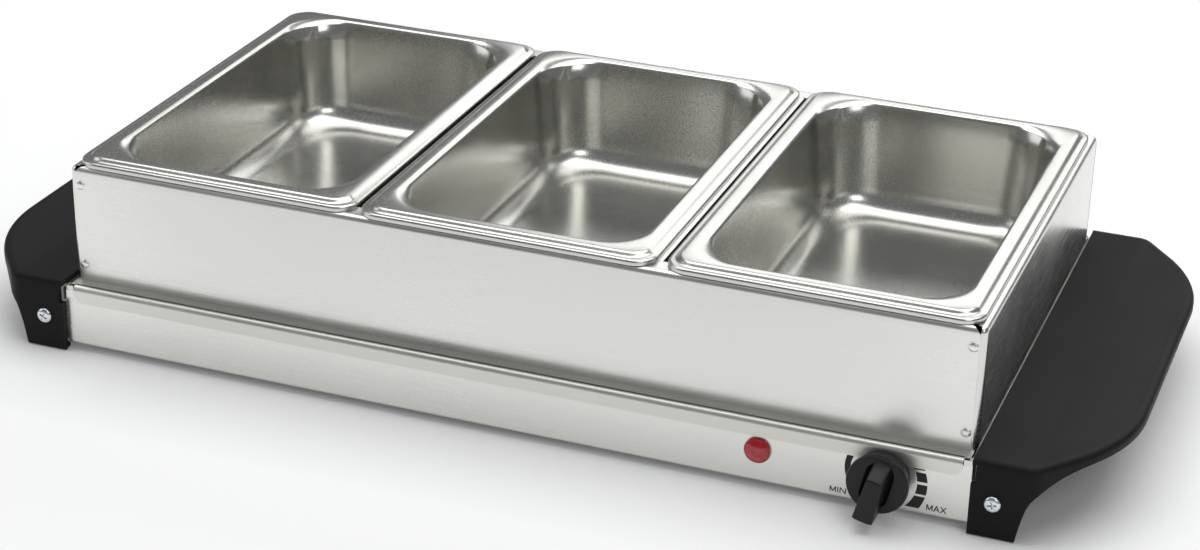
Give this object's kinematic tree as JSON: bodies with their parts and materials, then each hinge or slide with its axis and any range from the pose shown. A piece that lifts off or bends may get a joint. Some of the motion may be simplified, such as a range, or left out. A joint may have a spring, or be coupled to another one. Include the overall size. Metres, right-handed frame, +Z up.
{
  "type": "electric buffet server",
  "caption": "Electric buffet server: heated steel tray on moulded end handles, with a thermostat knob, pilot lamp and lift-off frame holding gastronorm pans.",
  "frame": {"origin": "the middle of the outline, knob and rear screws included, on the table under the feet", "axes": "+X along the long side to the right, -Y towards the control side, +Z up"},
  "size_m": [0.642, 0.3185, 0.1091],
  "materials": {
    "panel_steel": "brushed along the length",
    "pan_steel": "satin, drawn",
    "tray_steel": "satin",
    "galvanised_steel": "galvanised",
    "handle_plastic": "fine texture",
    "knob_plastic": "satin",
    "zinc_steel": "zinc plated",
    "spreader_aluminium": "rolled",
    "element_sheath": "oxidised sheath",
    "copper": "bare copper",
    "cutout_ceramic": "ceramic",
    "thermostat_ceramic": "ceramic",
    "brass": "plain",
    "block_nylon": "moulded",
    "wire_sleeve": "silicone sleeve",
    "gland_plastic": "moulded",
    "lamp_red": "clear red lens"
  },
  "bodies": {
    "base": {"tray_plate": "tray_steel", "front_panel": "panel_steel", "rear_panel": "panel_steel", "end_panel_left": "galvanised_steel", "end_panel_right": "galvanised_steel", "bottom_cover": "galvanised_steel", "bottom_screws": "zinc_steel", "handle_left": "handle_plastic", "handle_right": "handle_plastic", "handle_screws": "zinc_steel", "heat_spreader": "spreader_aluminium", "heating_element": "element_sheath", "element_clips": "zinc_steel", "heat_reflector": "galvanised_steel", "reflector_studs": "zinc_steel", "reflector_nuts": "zinc_steel", "thermal_cutout": "cutout_ceramic", "sensing_bulb": "copper", "bulb_clip": "zinc_steel", "thermostat_body": "thermostat_ceramic", "thermostat_nut": "brass", "thermostat_tabs": "brass", "terminal_block": "block_nylon", "terminal_screws": "brass", "inner_wires": "wire_sleeve", "earth_screw": "brass", "cord_gland": "gland_plastic", "gland_nut": "gland_plastic", "lamp_lens": "lamp_red", "lamp_housing": "block_nylon", "lamp_clip": "zinc_steel"},
    "knob": {"control_knob": "knob_plastic", "thermostat_shaft": "zinc_steel"},
    "pan_frame": {"frame_front": "panel_steel", "frame_back": "panel_steel", "frame_left": "panel_steel", "frame_right": "panel_steel", "crossbar_left": "panel_steel", "crossbar_right": "panel_steel", "frame_rivets": "panel_steel"},
    "left_pan": {"pan_left": "pan_steel"},
    "middle_pan": {"pan_middle": "pan_steel"},
    "right_pan": {"pan_right": "pan_steel"}
  },
  "joints": [
    {"name": "knob_turn", "type": "hinge", "parent": "base", "child": "knob", "pos_m": [0.2069, -0.13525, 0.0213], "axis": [0, 1, 0], "range_deg": [0, 296]},
    {"name": "frame_lift", "type": "slide", "parent": "base", "child": "pan_frame", "axis": [0, 0, 1], "range_m": [0, 0.1]},
    {"name": "pan_left_lift", "type": "slide", "parent": "pan_frame", "child": "left_pan", "axis": [0, 0, 1], "range_m": [0, 0.09]},
    {"name": "pan_middle_lift", "type": "slide", "parent": "pan_frame", "child": "middle_pan", "axis": [0, 0, 1], "range_m": [0, 0.09]},
    {"name": "pan_right_lift", "type": "slide", "parent": "pan_frame", "child": "right_pan", "axis": [0, 0, 1], "range_m": [0, 0.09]}
  ]
}
